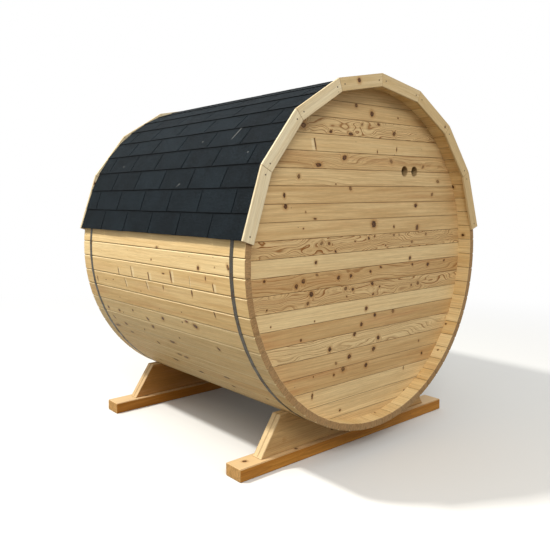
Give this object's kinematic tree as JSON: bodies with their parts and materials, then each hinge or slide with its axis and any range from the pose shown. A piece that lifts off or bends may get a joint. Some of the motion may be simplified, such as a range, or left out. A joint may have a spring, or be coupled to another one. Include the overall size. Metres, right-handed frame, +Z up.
{
  "type": "outdoor barrel sauna",
  "caption": "Barrel-shaped outdoor sauna of wooden staves with steel hoops, board end walls, a shingle roof, and cradles on sleeper beams.",
  "frame": {"origin": "on the ground, below the middle of the barrel", "axes": "+Z up, Y along the barrel with the blank, vented end towards -Y and the door towards +Y, +X to the right when the blank end is faced"},
  "size_m": [2.3526, 2.032, 2.4925],
  "materials": {
    "stave_wood": "planed spruce, unpainted",
    "wall_wood": "planed spruce, unpainted",
    "fascia_wood": "planed spruce, unpainted",
    "cradle_wood": "planed spruce, unpainted",
    "beam_wood": "oiled sawn timber",
    "door_wood": "planed spruce, unpainted",
    "handle_wood": "turned spruce",
    "shingle": "mineral-faced bitumen felt",
    "hoop_steel": "dark weathered strip steel",
    "hinge_steel": "black painted steel"
  },
  "bodies": {
    "root": {"bottom_staves": "stave_wood", "door_handle": "handle_wood", "door_head": "door_wood", "door_hinges": "hinge_steel", "door_jambs": "door_wood", "door_leaf": "door_wood", "door_ledges": "door_wood", "door_sill": "door_wood", "front_beam": "beam_wood", "front_cradle": "cradle_wood", "front_hoop": "hoop_steel", "front_left_fascia": "fascia_wood", "front_right_fascia": "fascia_wood", "front_wall_left_boards": "wall_wood", "front_wall_lower_boards": "wall_wood", "front_wall_right_boards": "wall_wood", "front_wall_upper_boards": "wall_wood", "hoop_tighteners": "hoop_steel", "left_staves": "stave_wood", "lower_left_shingles": "shingle", "lower_left_staves": "stave_wood", "lower_right_shingles": "shingle", "lower_right_staves": "stave_wood", "middle_left_shingles": "shingle", "middle_right_shingles": "shingle", "rear_beam": "beam_wood", "rear_cradle": "cradle_wood", "rear_hoop": "hoop_steel", "rear_left_fascia": "fascia_wood", "rear_right_fascia": "fascia_wood", "rear_wall_lower_boards": "wall_wood", "rear_wall_upper_boards": "wall_wood", "rear_wall_vent_boards": "wall_wood", "ridge_shingles": "shingle", "right_staves": "stave_wood", "top_staves": "stave_wood", "upper_left_shingles": "shingle", "upper_left_staves": "stave_wood", "upper_right_shingles": "shingle", "upper_right_staves": "stave_wood"}
  },
  "joints": []
}
